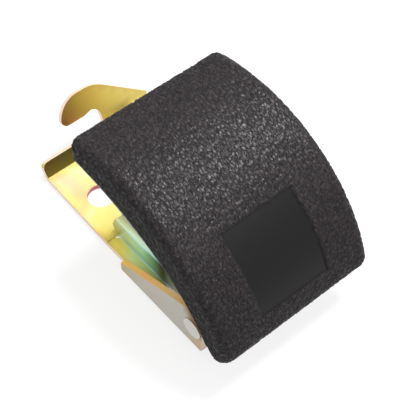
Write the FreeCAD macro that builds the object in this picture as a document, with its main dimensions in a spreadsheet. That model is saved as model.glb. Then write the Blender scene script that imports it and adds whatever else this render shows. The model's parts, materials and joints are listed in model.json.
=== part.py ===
import FreeCAD, Part
import math
import os
import Sketcher
from FreeCAD import Placement, Rotation, Vector

# Hood release handle: a sprung lever under an arched moulded cover, hinged on
# a stamped base plate, which lifts a claw hook off the striker of the hood.
# X is the width, +Y points from the pivot to the hook, +Z up off the mounting
# face, and the origin is midway between the two mounting holes on that face.

doc = FreeCAD.newDocument("HoodReleaseHandle")
sizes = doc.addObject("Spreadsheet::Sheet", "Sizes")
ROWS = []


def size(name, value):
    """Write one driving dimension into the sheet and give it back as a number."""
    ROWS.append(name)
    row = str(len(ROWS))
    sizes.set("A" + row, name)
    sizes.set("B" + row, str(value))
    sizes.setAlias("B" + row, name)
    return float(value)


# Base plate
sheet_gauge = size("sheet_gauge", 2.0)
base_width = size("base_width", 49.0)
bend_front = size("bend_front", 16.5)
crank_back = size("crank_back", 15.7)
crank_angle = size("crank_angle", 4.0)
flange_lean = size("flange_lean", 33.0)
flange_rise = size("flange_rise", 5.2)
hole_bore = size("hole_bore", 9.0)
hole_spacing = size("hole_spacing", 30.4)
window_width = size("window_width", 40.8)
window_run = size("window_run", 37.0)
window_relief = size("window_relief", 0.9)
crease_depth = size("crease_depth", 0.25)
crease_width = size("crease_width", 0.5)

# Ears and pivot
ear_span = size("ear_span", 54.2)
ear_back = size("ear_back", 26.6)
ear_step = size("ear_step", 6.2)
ear_slope = size("ear_slope", 26.3)
ear_nose = size("ear_nose", 4.4)
ear_bend = size("ear_bend", 1.9)
pivot_back = size("pivot_back", 61.5)
pivot_rise = size("pivot_rise", 13.8)
pin_gauge = size("pin_gauge", 5.0)
pin_head = size("pin_head", 7.4)
pin_head_rise = size("pin_head_rise", 0.5)
running_gap = size("running_gap", 0.06)
face_gap = size("face_gap", 0.3)

# Lever channel
lever_width = size("lever_width", 39.6)
lever_front = size("lever_front", 12.6)
lever_floor = size("lever_floor", 2.6)
lever_crown = size("lever_crown", 11.0)
lever_eye = size("lever_eye", 6.8)
riser_back = size("riser_back", 47.7)
riser_sweep = size("riser_sweep", 13.0)
bush_wall = size("bush_wall", 1.2)
bush_flange = size("bush_flange", 1.4)
sleeve_gauge = size("sleeve_gauge", 9.4)

# Moulded cover: an arched top over a curved lip, both made of two arcs
cover_width = size("cover_width", 57.3)
cover_wall = size("cover_wall", 2.5)
arch_back = size("arch_back", 29.0)
arch_crown = size("arch_crown", 52.5)
arch_bend = size("arch_bend", 51.5)
arch_front_bend = size("arch_front_bend", 66.0)
arch_sweep = size("arch_sweep", 71.0)
end_round = size("end_round", 4.3)
cover_front = size("cover_front", 6.2)
lip_back = size("lip_back", 14.0)
lip_rise = size("lip_rise", 41.9)
lip_front_bend = size("lip_front_bend", 87.0)
lip_rear_bend = size("lip_rear_bend", 42.2)
lip_join_angle = size("lip_join_angle", 24.2)
lip_end_angle = size("lip_end_angle", 61.0)
cover_round = size("cover_round", 3.4)
patch_width = size("patch_width", 26.0)
patch_depth = size("patch_depth", 0.5)
patch_start = size("patch_start", 32.5)
patch_sweep = size("patch_sweep", 32.5)

# Arched carrier plate under the cover, its screws and rivets
carrier_gap = size("carrier_gap", 3.0)
carrier_gauge = size("carrier_gauge", 1.8)
carrier_width = size("carrier_width", 39.0)
carrier_front_angle = size("carrier_front_angle", 19.0)
carrier_rear_angle = size("carrier_rear_angle", 60.0)
boss_gauge = size("boss_gauge", 9.0)
screw_gauge = size("screw_gauge", 3.6)
screw_head = size("screw_head", 7.0)
screw_head_rise = size("screw_head_rise", 2.2)
screw_bite = size("screw_bite", 3.2)
washer_round = size("washer_round", 8.6)
washer_gauge = size("washer_gauge", 0.8)
insert_round = size("insert_round", 5.4)
insert_length = size("insert_length", 3.6)
screw_spread = size("screw_spread", 18.0)
screw_front_angle = size("screw_front_angle", 10.0)
screw_rear_angle = size("screw_rear_angle", 14.0)
rivet_gauge = size("rivet_gauge", 4.0)
rivet_head = size("rivet_head", 7.0)
rivet_head_rise = size("rivet_head_rise", 1.4)
carrier_rivet_spread = size("carrier_rivet_spread", 22.0)
carrier_rivet_angle = size("carrier_rivet_angle", 35.0)
carrier_rivet_step = size("carrier_rivet_step", 15.0)

# Release tongue
tongue_width = size("tongue_width", 8.0)
tongue_side = size("tongue_side", 3.5)
tongue_reach = size("tongue_reach", 11.4)
tongue_tail = size("tongue_tail", 33.0)
tongue_rivet_pitch = size("tongue_rivet_pitch", 10.0)

# Claw hook, drawn in its own leaning plane: across X, and up from the bend
hook_side = size("hook_side", 13.3)
hook_height = size("hook_height", 4.6)
hook_tip_side = size("hook_tip_side", 12.9)
hook_tip_height = size("hook_tip_height", 15.7)
hook_arm_edge = size("hook_arm_edge", 13.1)
hook_crown_height = size("hook_crown_height", 21.5)
hook_crown_side = size("hook_crown_side", 2.6)
hook_back_side = size("hook_back_side", 5.6)
hook_back_height = size("hook_back_height", 19.2)
hook_heel_side = size("hook_heel_side", 19.3)
hook_heel_height = size("hook_heel_height", 9.2)
hook_hub = size("hook_hub", 4.0)
notch_wall = size("notch_wall", 0.8)
notch_round = size("notch_round", 2.4)
notch_floor = size("notch_floor", 7.4)
jaw_side = size("jaw_side", 6.2)
lug_width = size("lug_width", 5.4)
lug_reach = size("lug_reach", 12.6)
lug_height = size("lug_height", 3.75)
stud_gauge = size("stud_gauge", 4.4)
stud_head = size("stud_head", 8.4)
stud_head_rise = size("stud_head_rise", 1.8)
hook_bush_wall = size("hook_bush_wall", 0.7)
hook_washer_gauge = size("hook_washer_gauge", 0.6)
hook_washer_round = size("hook_washer_round", 8.2)
tab_round = size("tab_round", 4.2)

# Springs
handle_wire = size("handle_wire", 1.8)
handle_turns = size("handle_turns", 4.4)
handle_coil_side = size("handle_coil_side", 9.0)
handle_arm_drop = size("handle_arm_drop", 13.0)
handle_low_arm = size("handle_low_arm", 8.0)
handle_high_arm = size("handle_high_arm", 14.5)
hook_wire = size("hook_wire", 1.2)
hook_turns = size("hook_turns", 2.25)
hook_low_arm = size("hook_low_arm", 5.7)
hook_high_arm = size("hook_high_arm", 8.0)
COIL_PITCH = 1.06

doc.recompute()

HALF_EAR = ear_span / 2
HALF_BASE = base_width / 2
HALF_LEVER = lever_width / 2
HALF_COVER = cover_width / 2
ARCH = Vector(0, -arch_back, arch_crown - arch_bend)
PIVOT = Vector(0, -pivot_back, pivot_rise)
LEAN = math.radians(flange_lean)
CRANK = math.tan(math.radians(crank_angle))
BEND_LINE = Vector(0, bend_front, sheet_gauge)
LEANED = Placement(BEND_LINE, Rotation(Vector(1, 0, 0), -flange_lean))


# Drawing helpers

def on_circle(centre, radius, angle):
    """A point of the side view, angle in degrees from straight up towards -Y."""
    turn = math.radians(angle)
    return (centre[0] - radius * math.sin(turn), centre[1] + radius * math.cos(turn))


def tangent_point(point, centre, radius, side):
    """Where the line from a point touches a circle, on the side given by +1 or -1."""
    away = math.hypot(centre[0] - point[0], centre[1] - point[1])
    heading = math.atan2(point[1] - centre[1], point[0] - centre[0])
    turn = heading + side * math.acos(radius / away)
    return (centre[0] + radius * math.cos(turn), centre[1] + radius * math.sin(turn))


def floor_height(y, above=0.0):
    """Height of the base plate's underside, which rises behind the crank line."""
    return max(0.0, (-crank_back - y) * CRANK) + above


def new_body(label):
    body = doc.addObject("PartDesign::Body", label)
    body.Label = label
    return body


def new_sketch(body, name, role, offset=0.0):
    """A sketch on one of the body's own origin planes, moved along its normal."""
    sketch = body.newObject("Sketcher::SketchObject", name)
    plane = [item for item in body.Origin.OriginFeatures if item.Role == role][0]
    sketch.AttachmentSupport = [(plane, "")]
    sketch.MapMode = "FlatFace"
    sketch.AttachmentOffset = Placement(Vector(0, 0, offset), Rotation())
    return sketch


def draw(sketch, start, steps):
    """A closed outline: a step is an end point, or a middle and an end for an arc."""
    here = Vector(start[0], start[1], 0)
    first = here
    for step in list(steps) + [start]:
        if isinstance(step[0], tuple):
            middle = Vector(step[0][0], step[0][1], 0)
            there = Vector(step[1][0], step[1][1], 0)
            sketch.addGeometry(Part.Arc(here, middle, there), False)
        else:
            there = Vector(step[0], step[1], 0)
            if there.distanceToPoint(here) < 1e-7:
                continue
            sketch.addGeometry(Part.LineSegment(here, there), False)
        here = there
    sketch.detectMissingPointOnPointConstraints(1e-5)
    sketch.makeMissingPointOnPointCoincident()
    return first


def circle(sketch, centre, diameter):
    """A circle whose diameter is bound to the sheet by the expression given."""
    index = sketch.addGeometry(Part.Circle(Vector(centre[0], centre[1], 0), Vector(0, 0, 1), 1.0), False)
    row = sketch.addConstraint(Sketcher.Constraint("Diameter", index, 2.0))
    sketch.setExpression("Constraints[%d]" % row, diameter)
    for name, value in (("DistanceX", centre[0]), ("DistanceY", centre[1])):
        sketch.addConstraint(Sketcher.Constraint(name, -1, 1, index, 3, value))


def pad(body, sketch, name, length, both=True, reverse=False):
    feature = body.newObject("PartDesign::Pad", name)
    feature.Profile = sketch
    feature.SideType = "Symmetric" if both else "One side"
    feature.Reversed = reverse
    feature.setExpression("Length", length)
    return feature


def pocket(body, sketch, name, length, both=True, reverse=False):
    feature = body.newObject("PartDesign::Pocket", name)
    feature.Profile = sketch
    feature.SideType = "Symmetric" if both else "One side"
    feature.Reversed = reverse
    feature.setExpression("Length", length)
    return feature


def round_edges(body, name, radius, wanted):
    """Fillet the edges of the body's last feature that pass the test given."""
    doc.recompute()
    base = body.Tip
    names = ["Edge%d" % (i + 1) for i, edge in enumerate(base.Shape.Edges) if wanted(edge)]
    feature = body.newObject("PartDesign::Fillet", name)
    feature.Base = (base, names)
    feature.setExpression("Radius", radius)
    return feature


def solid(label, shape, place=Placement()):
    """A sub-part whose form needs Part's own functions."""
    feature = doc.addObject("Part::Feature", label)
    feature.Label = label
    feature.Shape = shape
    feature.Placement = place
    return feature


def cylinder(centre, axis, diameter, low, high):
    """A cylinder about an axis through a point, between two distances along it."""
    start = centre + axis * low
    return Part.makeCylinder(diameter / 2, high - low, start, axis)


def ring(centre, axis, outer, inner, low, high):
    body = cylinder(centre, axis, outer, low, high)
    return body.cut(cylinder(centre, axis, inner, low - 1, high + 1))


# Base plate: front plate, leaning flange, cranked side strips and two ears

def build_base_plate():
    body = new_body("base_plate")
    rear = -pivot_back - ear_nose + 1.0
    lean_in = (bend_front, sheet_gauge)
    flange_top = (lean_in[0] + flange_rise * math.sin(LEAN), lean_in[1] + flange_rise * math.cos(LEAN))
    outer_top = (flange_top[0] + sheet_gauge * math.cos(LEAN), flange_top[1] - sheet_gauge * math.sin(LEAN))
    reach = sheet_gauge * math.tan((math.pi / 2 - LEAN) / 2)
    outer_start = (bend_front, 0.0)
    outer_end = (lean_in[0] + sheet_gauge * math.cos(LEAN), lean_in[1] - sheet_gauge * math.sin(LEAN))
    middle = (bend_front + sheet_gauge * math.sin((math.pi / 2 - LEAN) / 2),
              sheet_gauge - sheet_gauge * math.cos((math.pi / 2 - LEAN) / 2))
    profile = new_sketch(body, "SideProfile", "YZ_Plane")
    draw(profile, (-ear_back, floor_height(-ear_back)),
         [(-crank_back, 0.0), outer_start, (middle, outer_end), outer_top, flange_top, lean_in,
          (-crank_back, sheet_gauge), (-ear_back, floor_height(-ear_back, sheet_gauge))])
    pad(body, profile, "Sheet", "Sizes.base_width")

    strip = new_sketch(body, "EarFootProfile", "YZ_Plane")
    draw(strip, (rear, floor_height(rear)),
         [(-ear_back, floor_height(-ear_back)), (-ear_back, floor_height(-ear_back, sheet_gauge)),
          (rear, floor_height(rear, sheet_gauge))])
    pad(body, strip, "EarFoot", "Sizes.ear_span")

    slope = math.radians(ear_slope)
    foot = (-ear_back, floor_height(-ear_back))
    shoulder = (-ear_back, ear_step)
    centre = (-pivot_back, pivot_rise)
    crown = (centre[0] + ear_nose * math.sin(slope), centre[1] + ear_nose * math.cos(slope))
    lift = shoulder[1] + (shoulder[0] - crown[0]) * math.tan(slope)
    crown = (crown[0], lift)
    nose = (centre[0] - ear_nose, centre[1] + 1.0)
    heel = (rear, floor_height(rear))
    for side, name in ((1, "Far"), (-1, "Near")):
        ear = new_sketch(body, name + "EarProfile", "YZ_Plane", side * (HALF_EAR - sheet_gauge / 2))
        draw(ear, foot, [shoulder, crown, (on_circle(centre, ear_nose + 0.6, 32), nose), heel])
        pad(body, ear, name + "Ear", "Sizes.sheet_gauge")
    doc.recompute()

    window = new_sketch(body, "Window", "XY_Plane")
    front = -crank_back
    back = front - window_run
    half = window_width / 2
    draw(window, (-half, back), [(half, back), (half, front), (-half, front)])
    pocket(body, window, "WindowCut", "Sizes.pivot_rise * 2")
    reliefs = new_sketch(body, "Reliefs", "XY_Plane")
    for side in (-1, 1):
        circle(reliefs, (side * half, front), "Sizes.window_relief * 2")
    pocket(body, reliefs, "ReliefCut", "Sizes.sheet_gauge * 3")
    holes = new_sketch(body, "MountingHoles", "XY_Plane")
    for side in (-1, 1):
        circle(holes, (side * hole_spacing / 2, 0.0), "Sizes.hole_bore")
    pocket(body, holes, "MountingHoleCut", "Sizes.sheet_gauge * 3")
    pin_holes = new_sketch(body, "PinHoles", "YZ_Plane")
    circle(pin_holes, centre, "Sizes.pin_gauge + Sizes.running_gap")
    pocket(body, pin_holes, "PinHoleCut", "Sizes.ear_span + 2")
    crease = new_sketch(body, "Crease", "YZ_Plane")
    low = sheet_gauge - crease_depth
    draw(crease, (-crank_back - crease_width / 2, sheet_gauge + 1),
         [(-crank_back - crease_width / 2, low + crease_depth / 2), (-crank_back, low),
          (-crank_back + crease_width / 2, low + crease_depth / 2),
          (-crank_back + crease_width / 2, sheet_gauge + 1)])
    pocket(body, crease, "CreaseCut", "Sizes.base_width + 2")

    tab = new_sketch(body, "HookTab", "XZ_Plane")
    draw(tab, (hook_side - tab_round - 3, 1.0),
         [(hook_side + tab_round + 3, 1.0), (hook_side + tab_round, hook_height),
          ((hook_side, hook_height + tab_round), (hook_side - tab_round, hook_height))])
    tab.AttachmentOffset = Placement()
    tab.MapMode = "Deactivated"
    tab.Placement = Placement(BEND_LINE, Rotation(Vector(1, 0, 0), 90 - flange_lean))
    pad(body, tab, "Tab", "Sizes.sheet_gauge", both=False, reverse=True)
    stud_hole = new_sketch(body, "StudHole", "XZ_Plane")
    circle(stud_hole, (hook_side, hook_height), "Sizes.stud_gauge - 2")
    stud_hole.MapMode = "Deactivated"
    stud_hole.Placement = tab.Placement
    pocket(body, stud_hole, "StudHoleCut", "Sizes.sheet_gauge * 3")

    def outer_foot(edge):
        points = [v.Point for v in edge.Vertexes]
        return (len(points) == 2 and all(abs(abs(p.x) - HALF_EAR) < 0.01 for p in points)
                and all(abs(p.z - floor_height(p.y)) < 0.01 for p in points)
                and abs(points[0].y - points[1].y) > ear_nose)

    round_edges(body, "EarBend", "Sizes.ear_bend", outer_foot)

    def flange_corner(edge):
        points = [v.Point for v in edge.Vertexes]
        tops = [p for p in points if abs(abs(p.x) - HALF_BASE) < 0.01 and p.z > flange_rise * 0.4 + sheet_gauge]
        return len(points) == 2 and len(tops) == 2 and abs(edge.Length - sheet_gauge) < 0.01

    round_edges(body, "FlangeCorner", "Sizes.flange_rise * 0.45", flange_corner)
    return body


# Pieces on the pivot

def build_pivot_pieces():
    across = Vector(1, 0, 0)
    shank = cylinder(PIVOT, across, pin_gauge, -HALF_EAR, HALF_EAR)
    ends = [cylinder(PIVOT, across * side, pin_head, HALF_EAR, HALF_EAR + pin_head_rise) for side in (-1, 1)]
    pin = shank.fuse(ends).removeSplitter()
    rims = [e for e in pin.Edges if abs(e.CenterOfMass.x) > HALF_EAR + pin_head_rise * 0.9]
    solid("pivot_pin", pin.makeFillet(pin_head_rise * 0.55, rims))

    bore = pin_gauge + 2 * running_gap
    cheek_out = HALF_LEVER + bush_flange
    inner_ear = HALF_EAR - sheet_gauge
    bushes = []
    spacers = []
    for side in (-1, 1):
        axis = across * side
        tube = ring(PIVOT, axis, bore + 2 * bush_wall, bore, HALF_LEVER - sheet_gauge, HALF_LEVER)
        flange = ring(PIVOT, axis, bore + 2 * bush_wall + 3.0, bore, HALF_LEVER, cheek_out)
        bushes.append(tube.fuse(flange).removeSplitter())
        spacers.append(ring(PIVOT, axis, pin_head + 2.6, bore, cheek_out + face_gap, inner_ear))
    solid("lever_bushes", Part.makeCompound(bushes))
    solid("pivot_spacers", Part.makeCompound(spacers))
    half_sleeve = HALF_LEVER - sheet_gauge - face_gap
    solid("spring_sleeve", ring(PIVOT, across, sleeve_gauge, bore, -half_sleeve, half_sleeve))


# Lever channel: a pressed U whose cheeks rise to carry the arched plate

def lever_outline(inset):
    """Side outline of the channel, pulled in by a wall on its upper side."""
    arch = (ARCH.y, ARCH.z)
    seat = arch_bend - cover_wall - carrier_gap - carrier_gauge - 0.05 - inset
    top = lever_crown - inset
    sweep = riser_sweep + inset
    sweep_z = lever_crown + riser_sweep
    riser = -riser_back - inset
    corner = riser + sweep
    head_angle = math.degrees(math.asin((ARCH.y - riser) / seat))
    head = on_circle(arch, seat, head_angle)
    tail = on_circle(arch, seat, carrier_rear_angle - 2)
    mid = on_circle(arch, seat, (head_angle + carrier_rear_angle - 2) / 2)
    bow = (corner - sweep * math.sin(math.pi / 4), sweep_z - sweep * math.cos(math.pi / 4))
    return {"top": top, "head": head, "mid": mid, "tail": tail, "bow": bow,
            "riser": (riser, sweep_z), "corner": (corner, top)}


def build_lever_channel():
    body = new_body("lever_channel")
    shape = lever_outline(0.0)
    eye = (-pivot_back, pivot_rise)
    knee = (-riser_back + 6.0, lever_floor)
    touch = tangent_point(knee, eye, lever_eye, -1)
    back = tangent_point(shape["tail"], eye, lever_eye, 1)
    under = on_circle(eye, lever_eye, 120)
    nose_top = (-lever_front - 2.8, shape["top"])
    nose_mid = (-lever_front - 1.3, (shape["top"] + lever_floor) / 2 + 1.6)
    nose_low = (-lever_front, lever_floor + 1.6)
    outer = new_sketch(body, "CheekProfile", "YZ_Plane")
    draw(outer, (-lever_front - 1.4, lever_floor),
         [knee, touch, (under, back), shape["tail"], (shape["mid"], shape["head"]),
          shape["riser"], (shape["bow"], shape["corner"]), nose_top, (nose_mid, nose_low)])
    pad(body, outer, "Blank", "Sizes.lever_width")
    inner = lever_outline(sheet_gauge)
    hollow = new_sketch(body, "HollowProfile", "YZ_Plane")
    draw(hollow, (5.0, -10.0),
         [(-pivot_back - 20, -10.0), (-pivot_back - 20, inner["tail"][1]), inner["tail"],
          (inner["mid"], inner["head"]), inner["riser"], (inner["bow"], inner["corner"]),
          (5.0, inner["top"])])
    pocket(body, hollow, "Hollow", "Sizes.lever_width - 2 * Sizes.sheet_gauge")
    bores = new_sketch(body, "BushBores", "YZ_Plane")
    circle(bores, eye, "Sizes.pin_gauge + 2 * Sizes.running_gap + 2 * Sizes.bush_wall")
    pocket(body, bores, "BushBoreCut", "Sizes.lever_width + 2")

    def shoulder(edge):
        points = [v.Point for v in edge.Vertexes]
        return (len(points) == 2 and all(abs(abs(p.x) - HALF_LEVER) < 0.01 for p in points)
                and points[0].x * points[1].x > 0
                and all(-riser_back - 0.01 < p.y < -lever_front - 2.0 for p in points)
                and all(lever_crown - 0.01 < p.z < lever_crown + riser_sweep + 0.01 for p in points))

    round_edges(body, "ShoulderBend", "Sizes.sheet_gauge * 0.9", shoulder)
    rivets = new_sketch(body, "TongueRivetHoles", "XY_Plane")
    for y in tongue_rivet_places():
        circle(rivets, (-tongue_side, y), "Sizes.rivet_gauge")
    pocket(body, rivets, "TongueRivetCut", "Sizes.arch_crown", both=False, reverse=True)
    radial_holes(body, "Rivet", carrier_rivet_places(), "Sizes.rivet_gauge + 0.02")
    return body


def tongue_rivet_places():
    first = -lever_front - 7.0
    return (first, first - tongue_rivet_pitch)


def radial(angle):
    """Direction away from the arch's axis, and where it stands in the side view."""
    turn = math.radians(angle)
    return Vector(0, -math.sin(turn), math.cos(turn))


def build_tongue():
    body = new_body("release_tongue")
    top = lever_crown - sheet_gauge
    plan = new_sketch(body, "TonguePlan", "XY_Plane", top - sheet_gauge)
    half = tongue_width / 2
    left = -tongue_side - half
    right = -tongue_side + half
    draw(plan, (left, -tongue_tail),
         [(right, -tongue_tail), (right, tongue_reach - half * 0.6),
          ((-tongue_side, tongue_reach), (left, tongue_reach - half * 0.6))])
    pad(body, plan, "TonguePlate", "Sizes.sheet_gauge", both=False)
    holes = new_sketch(body, "RivetHoles", "XY_Plane")
    for y in tongue_rivet_places():
        circle(holes, (-tongue_side, y), "Sizes.rivet_gauge")
    pocket(body, holes, "RivetHoleCut", "Sizes.arch_crown", both=False, reverse=True)

    up = Vector(0, 0, 1)
    rivets = []
    for y in tongue_rivet_places():
        place = Vector(-tongue_side, y, 0)
        rivets.append(domed_rivet(place, up, top - sheet_gauge, lever_crown))
    solid("tongue_rivets", Part.makeCompound(rivets))
    return body


def domed_rivet(place, axis, low, high):
    """A rivet through a stack, with a domed head on each side."""
    shank = cylinder(place, axis, rivet_gauge, low, high)
    heads = []
    for sign, face in ((1, high), (-1, low)):
        head = Part.makeCone(rivet_head / 2, rivet_head * 0.3, rivet_head_rise, place + axis * face, axis * sign)
        heads.append(head)
    return shank.fuse(heads).removeSplitter()


# Arched carrier plate, its rivets to the lever and the cover's screws

def build_carrier():
    body = new_body("cover_carrier")
    arch = (ARCH.y, ARCH.z)
    outer = arch_bend - cover_wall - carrier_gap
    inner = outer - carrier_gauge
    middle = (carrier_rear_angle - carrier_front_angle) / 2
    profile = new_sketch(body, "CarrierProfile", "YZ_Plane")
    draw(profile, on_circle(arch, outer, -carrier_front_angle),
         [(on_circle(arch, outer, middle), on_circle(arch, outer, carrier_rear_angle)),
          on_circle(arch, inner, carrier_rear_angle),
          (on_circle(arch, inner, middle), on_circle(arch, inner, -carrier_front_angle))])
    pad(body, profile, "CarrierPlate", "Sizes.carrier_width")
    radial_holes(body, "Screw", screw_places(), "Sizes.screw_gauge + 0.8")
    radial_holes(body, "Rivet", carrier_rivet_places(), "Sizes.rivet_gauge + 0.02")
    return body


def radial_holes(body, name, places, diameter):
    """Holes drilled towards the arch's axis through the plates that follow it."""
    top = arch_bend - cover_wall
    for angle in sorted(set(a for x, a in places)):
        sketch = new_sketch(body, "%sHoles%d" % (name, round(angle)), "XY_Plane")
        sketch.MapMode = "Deactivated"
        sketch.Placement = Placement(ARCH + radial(angle) * top, Rotation(Vector(1, 0, 0), angle))
        for x in [spot for spot, a in places if a == angle]:
            circle(sketch, (x, 0.0), diameter)
        pocket(body, sketch, "%sCut%d" % (name, round(angle)), "Sizes.carrier_gap * 4", both=False)


def screw_places():
    return [(x, a) for a in (-screw_front_angle, screw_rear_angle) for x in (-screw_spread / 2, screw_spread / 2)]


def carrier_rivet_places():
    angles = (carrier_rivet_angle, carrier_rivet_angle + carrier_rivet_step)
    return [(x, a) for a in angles for x in (-carrier_rivet_spread / 2, carrier_rivet_spread / 2)]


def under_curve(radius, width):
    """Where a flat disc of this width comes to rest inside a curve."""
    return math.sqrt(radius ** 2 - (width / 2) ** 2)


def build_carrier_fasteners():
    outer = arch_bend - cover_wall - carrier_gap
    inner = outer - carrier_gauge
    seat = under_curve(inner - 0.05 - sheet_gauge, rivet_head)
    rivets = []
    for x, angle in carrier_rivet_places():
        rivets.append(domed_rivet(ARCH + Vector(x, 0, 0), radial(angle), seat, outer))
    solid("carrier_rivets", Part.makeCompound(rivets))
    screws = []
    washers = []
    inserts = []
    washer_top = under_curve(inner, washer_round) - 0.02
    under = washer_top - washer_gauge
    for x, angle in screw_places():
        place = ARCH + Vector(x, 0, 0)
        up = radial(angle)
        shank = cylinder(place, up, screw_gauge, under, outer + screw_bite)
        head = Part.makeCone(screw_head * 0.36, screw_head / 2, screw_head_rise,
                             place + up * (under - screw_head_rise), up)
        screws.append(shank.fuse(head).removeSplitter())
        washers.append(ring(place, up, washer_round, screw_gauge + 2 * running_gap, under, washer_top))
        inserts.append(ring(place, up, insert_round, screw_gauge + running_gap, outer + 0.1, outer + insert_length))
    solid("cover_screws", Part.makeCompound(screws))
    solid("screw_washers", Part.makeCompound(washers))
    solid("cover_inserts", Part.makeCompound(inserts))


# Moulded cover

def build_cover():
    body = new_body("handle_cover")
    arch = (ARCH.y, ARCH.z)
    front_arch = (-arch_back, arch_crown - arch_front_bend)

    def front_height(y, radius):
        return front_arch[1] + math.sqrt(radius ** 2 - (y - front_arch[0]) ** 2)

    lip = (-lip_back, lip_rise - lip_front_bend)
    join = on_circle(lip, lip_front_bend, lip_join_angle)
    turn = math.radians(lip_join_angle)
    shift = lip_front_bend - lip_rear_bend
    rear = (lip[0] - shift * math.sin(turn), lip[1] + shift * math.cos(turn))
    lip_end = on_circle(rear, lip_rear_bend, lip_end_angle)
    lip_mid = on_circle(rear, lip_rear_bend, (lip_join_angle + lip_end_angle) / 2)
    start = (-cover_front, lip[1] + math.sqrt(lip_front_bend ** 2 - (lip_back - cover_front) ** 2))
    front_mid = on_circle(lip, lip_front_bend, lip_join_angle * 0.4)
    top_front = (-cover_front, front_height(-cover_front, arch_front_bend))
    crown = (-arch_back, arch_crown)
    mid_front = (-(arch_back + cover_front) / 2, front_height(-(arch_back + cover_front) / 2, arch_front_bend))
    skirt = on_circle(arch, arch_bend, arch_sweep)
    rear_mid = on_circle(arch, arch_bend, arch_sweep / 2)
    end_centre = on_circle(arch, arch_bend - end_round, arch_sweep)
    end_out = on_circle(end_centre, end_round, (arch_sweep + 200) / 2)
    end_low = on_circle(end_centre, end_round, 200)
    profile = new_sketch(body, "CoverProfile", "YZ_Plane")
    draw(profile, start,
         [top_front, (mid_front, crown), (rear_mid, skirt), (end_out, end_low), lip_end,
          (lip_mid, join), (front_mid, start)])
    pad(body, profile, "CoverBlank", "Sizes.cover_width")

    def outer_edge(edge):
        points = [v.Point for v in edge.Vertexes]
        if len(points) < 2:
            return False
        on_side = all(abs(abs(p.x) - HALF_COVER) < 0.01 for p in points)
        middle = edge.valueAt((edge.FirstParameter + edge.LastParameter) / 2)
        above = all(p.z > start[1] + 1.0 or p.y < lip_end[0] - 0.3 or p.z > arch_crown - 8 for p in points)
        upper = middle.distanceToPoint(Vector(middle.x, ARCH.y, ARCH.z)) > arch_bend - 6.0
        across = abs(points[0].x - points[1].x) > HALF_COVER
        front_top = across and all(abs(p.y - top_front[0]) < 0.01 and p.z > start[1] + 1 for p in points)
        upright = on_side and all(abs(p.y + cover_front) < 0.01 for p in points)
        end = on_side and any(abs(p.y - skirt[0]) < 0.01 for p in points)
        return front_top or upright or end or (on_side and above and upper)

    round_edges(body, "OuterRound", "Sizes.cover_round", outer_edge)

    wall = cover_wall
    inside = new_sketch(body, "CavityProfile", "YZ_Plane")
    in_front = -cover_front - wall
    in_top = (in_front, front_height(in_front, arch_front_bend - wall))
    in_crown = (-arch_back, arch_crown - wall)
    in_mid_front = ((in_front - arch_back) / 2, front_height((in_front - arch_back) / 2, arch_front_bend - wall))
    in_skirt = on_circle(arch, arch_bend - wall, arch_sweep - 5.0)
    in_rear_mid = on_circle(arch, arch_bend - wall, arch_sweep / 2)
    draw(inside, (in_front, start[1] - 12),
         [in_top, (in_mid_front, in_crown), (in_rear_mid, in_skirt), (lip_end[0] + 0.9, lip_end[1] + 1.6),
          (lip_end[0] + 8.0, lip_end[1] - 6.0)])
    pocket(body, inside, "Cavity", "Sizes.cover_width - 2 * Sizes.cover_wall")

    patch = new_sketch(body, "PatchProfile", "YZ_Plane")
    low = arch_bend - patch_depth
    stop = patch_start + patch_sweep
    middle = patch_start + patch_sweep / 2
    draw(patch, on_circle(arch, arch_bend + 3, patch_start),
         [(on_circle(arch, arch_bend + 3, middle), on_circle(arch, arch_bend + 3, stop)),
          on_circle(arch, low, stop), (on_circle(arch, low, middle), on_circle(arch, low, patch_start))])
    pocket(body, patch, "Patch", "Sizes.patch_width")
    doc.recompute()

    shell = body.Shape.copy()
    outer = arch_bend - cover_wall - carrier_gap
    bosses = []
    drills = []
    for x, angle in screw_places():
        place = ARCH + Vector(x, 0, 0)
        bosses.append(cylinder(place, radial(angle), boss_gauge, outer + 0.02, arch_bend - cover_wall + 0.6))
        drills.append(cylinder(place, radial(angle), insert_round + 0.02, outer - 1, outer + insert_length))
    ribs = []
    for x in (-HALF_COVER * 0.68, 0.0, HALF_COVER * 0.68):
        ribs.append(cover_rib(x, arch, outer))
    doc.removeObject(body.Name)
    whole = shell.fuse(bosses + ribs).cut(Part.makeCompound(drills))
    solid("handle_cover", whole.removeSplitter())


def cover_rib(x, arch, outer):
    """A thin lengthwise rib under the cover's crown, above the carrier plate."""
    high = arch_bend - cover_wall + 0.5
    low = outer + 0.5
    first = -carrier_front_angle + 3
    last = carrier_rear_angle + 4
    mid = (first + last) / 2
    spot = [Vector(x - 0.9, *on_circle(arch, r, a)) for r, a in
            ((high, first), (high, mid), (high, last), (low, last), (low, mid), (low, first))]
    edges = [Part.Arc(spot[0], spot[1], spot[2]).toShape(), Part.makeLine(spot[2], spot[3]),
             Part.Arc(spot[3], spot[4], spot[5]).toShape(), Part.makeLine(spot[5], spot[0])]
    return Part.Face(Part.Wire(edges)).extrude(Vector(1.8, 0, 0))


# Claw hook and what carries it, drawn upright and then leaned back

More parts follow.
